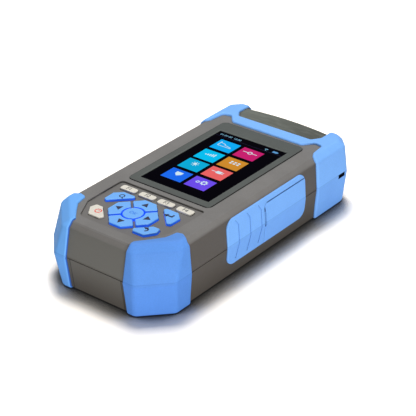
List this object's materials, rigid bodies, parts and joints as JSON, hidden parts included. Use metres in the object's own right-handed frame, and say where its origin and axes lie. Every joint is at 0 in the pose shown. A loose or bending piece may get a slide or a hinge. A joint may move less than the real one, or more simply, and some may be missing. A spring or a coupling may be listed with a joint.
{
  "type": "handheld optical time domain reflectometer",
  "caption": "Battery-powered fibre tester with a colour display, a keypad, rubber corner bumpers, side covers with a port flap, and a hinged dust cover over its optical connectors",
  "frame": {"origin": "middle of the footprint on the surface that the instrument lies on, on its back", "axes": "+X to the right of the display, +Y towards the connector end, +Z out of the display"},
  "size_m": [0.093, 0.184, 0.0434],
  "materials": {
    "grey_casing": "moulded casing plastic with a fine texture",
    "blue_rubber": "soft moulded rubber, matte",
    "bezel_plastic": "dark grey moulded frame",
    "lens_glass": "clear window",
    "display_black": "liquid crystal panel",
    "cream_keys": "moulded key, matte",
    "blue_keys": "translucent moulded key",
    "olive_cover": "moulded dust cover",
    "silicone": "soft contact mat",
    "seal_rubber": "sealing strip",
    "board_green": "laminated circuit board",
    "screw_steel": "plated screw",
    "pin_steel": "ground pin",
    "adapter_metal": "nickel plated adapter",
    "meter_plastic": "black port body",
    "panel_plastic": "flat panel",
    "battery_wrap": "wrapped cells",
    "module_metal": "machined housing",
    "jack_plastic": "moulded socket",
    "usb_steel": "folded shell"
  },
  "bodies": {
    "housing": {"battery_door": "grey_casing", "battery_door_screws": "screw_steel", "battery_pack": "battery_wrap", "bottom_left_bumper": "blue_rubber", "bottom_right_bumper": "blue_rubber", "case_screws": "screw_steel", "connector_panel": "panel_plastic", "display_bezel": "bezel_plastic", "display_lens": "lens_glass", "display_module": "display_black", "dust_cover_pins": "pin_steel", "fault_locator_adapter": "adapter_metal", "front_casing": "grey_casing", "keypad_board": "board_green", "keypad_board_screws": "screw_steel", "keypad_mat": "silicone", "left_side_cover": "blue_rubber", "main_board": "board_green", "main_board_screws": "screw_steel", "optical_module": "module_metal", "panel_screws": "screw_steel", "power_jack": "jack_plastic", "power_meter_adapter": "meter_plastic", "rear_casing": "grey_casing", "reflectometer_adapter": "adapter_metal", "right_side_cover": "blue_rubber", "shell_seal": "seal_rubber", "stand_pin": "pin_steel", "top_bumper": "blue_rubber", "usb_socket": "usb_steel"},
    "dust_cover": {"dust_cover": "olive_cover"},
    "port_flap": {"port_flap": "blue_rubber"},
    "stand": {"stand": "bezel_plastic"},
    "key_f1": {"key_f1": "cream_keys"},
    "key_f2": {"key_f2": "cream_keys"},
    "key_f3": {"key_f3": "cream_keys"},
    "key_f4": {"key_f4": "cream_keys"},
    "key_power": {"key_power": "cream_keys"},
    "key_up": {"key_up": "blue_keys"},
    "key_down": {"key_down": "blue_keys"},
    "key_left": {"key_left": "blue_keys"},
    "key_right": {"key_right": "blue_keys"},
    "key_ok": {"key_ok": "blue_keys"},
    "key_enter": {"key_enter": "blue_keys"},
    "key_search": {"key_search": "blue_keys"},
    "key_back": {"key_back": "blue_keys"}
  },
  "joints": [
    {"name": "key_back_press", "type": "slide", "parent": "housing", "child": "key_back", "axis": [0, 0, -1], "range_m": [0, 0.0008], "stiffness_N_per_m": 400},
    {"name": "key_down_press", "type": "slide", "parent": "housing", "child": "key_down", "axis": [0, 0, -1], "range_m": [0, 0.0008], "stiffness_N_per_m": 400},
    {"name": "key_enter_press", "type": "slide", "parent": "housing", "child": "key_enter", "axis": [0, 0, -1], "range_m": [0, 0.0008], "stiffness_N_per_m": 400},
    {"name": "key_f1_press", "type": "slide", "parent": "housing", "child": "key_f1", "axis": [0, 0, -1], "range_m": [0, 0.0008], "stiffness_N_per_m": 400},
    {"name": "key_f2_press", "type": "slide", "parent": "housing", "child": "key_f2", "axis": [0, 0, -1], "range_m": [0, 0.0008], "stiffness_N_per_m": 400},
    {"name": "key_f3_press", "type": "slide", "parent": "housing", "child": "key_f3", "axis": [0, 0, -1], "range_m": [0, 0.0008], "stiffness_N_per_m": 400},
    {"name": "key_f4_press", "type": "slide", "parent": "housing", "child": "key_f4", "axis": [0, 0, -1], "range_m": [0, 0.0008], "stiffness_N_per_m": 400},
    {"name": "key_left_press", "type": "slide", "parent": "housing", "child": "key_left", "axis": [0, 0, -1], "range_m": [0, 0.0008], "stiffness_N_per_m": 400},
    {"name": "key_ok_press", "type": "slide", "parent": "housing", "child": "key_ok", "axis": [0, 0, -1], "range_m": [0, 0.0008], "stiffness_N_per_m": 400},
    {"name": "key_power_press", "type": "slide", "parent": "housing", "child": "key_power", "axis": [0, 0, -1], "range_m": [0, 0.0008], "stiffness_N_per_m": 400},
    {"name": "key_right_press", "type": "slide", "parent": "housing", "child": "key_right", "axis": [0, 0, -1], "range_m": [0, 0.0008], "stiffness_N_per_m": 400},
    {"name": "key_search_press", "type": "slide", "parent": "housing", "child": "key_search", "axis": [0, 0, -1], "range_m": [0, 0.0008], "stiffness_N_per_m": 400},
    {"name": "key_up_press", "type": "slide", "parent": "housing", "child": "key_up", "axis": [0, 0, -1], "range_m": [0, 0.0008], "stiffness_N_per_m": 400},
    {"name": "dust_cover_hinge", "type": "hinge", "parent": "housing", "child": "dust_cover", "pos_m": [0, 0.0862, 0.0088], "axis": [-1, 0, 0], "range_deg": [0, 90]},
    {"name": "port_flap_hinge", "type": "hinge", "parent": "housing", "child": "port_flap", "pos_m": [0.046, 0.0436, 0.0221], "axis": [0, 0, 1], "range_deg": [0, 110]},
    {"name": "stand_hinge", "type": "hinge", "parent": "housing", "child": "stand", "pos_m": [0, 0.046, 0.0029], "axis": [1, 0, 0], "range_deg": [0, 45]}
  ]
}
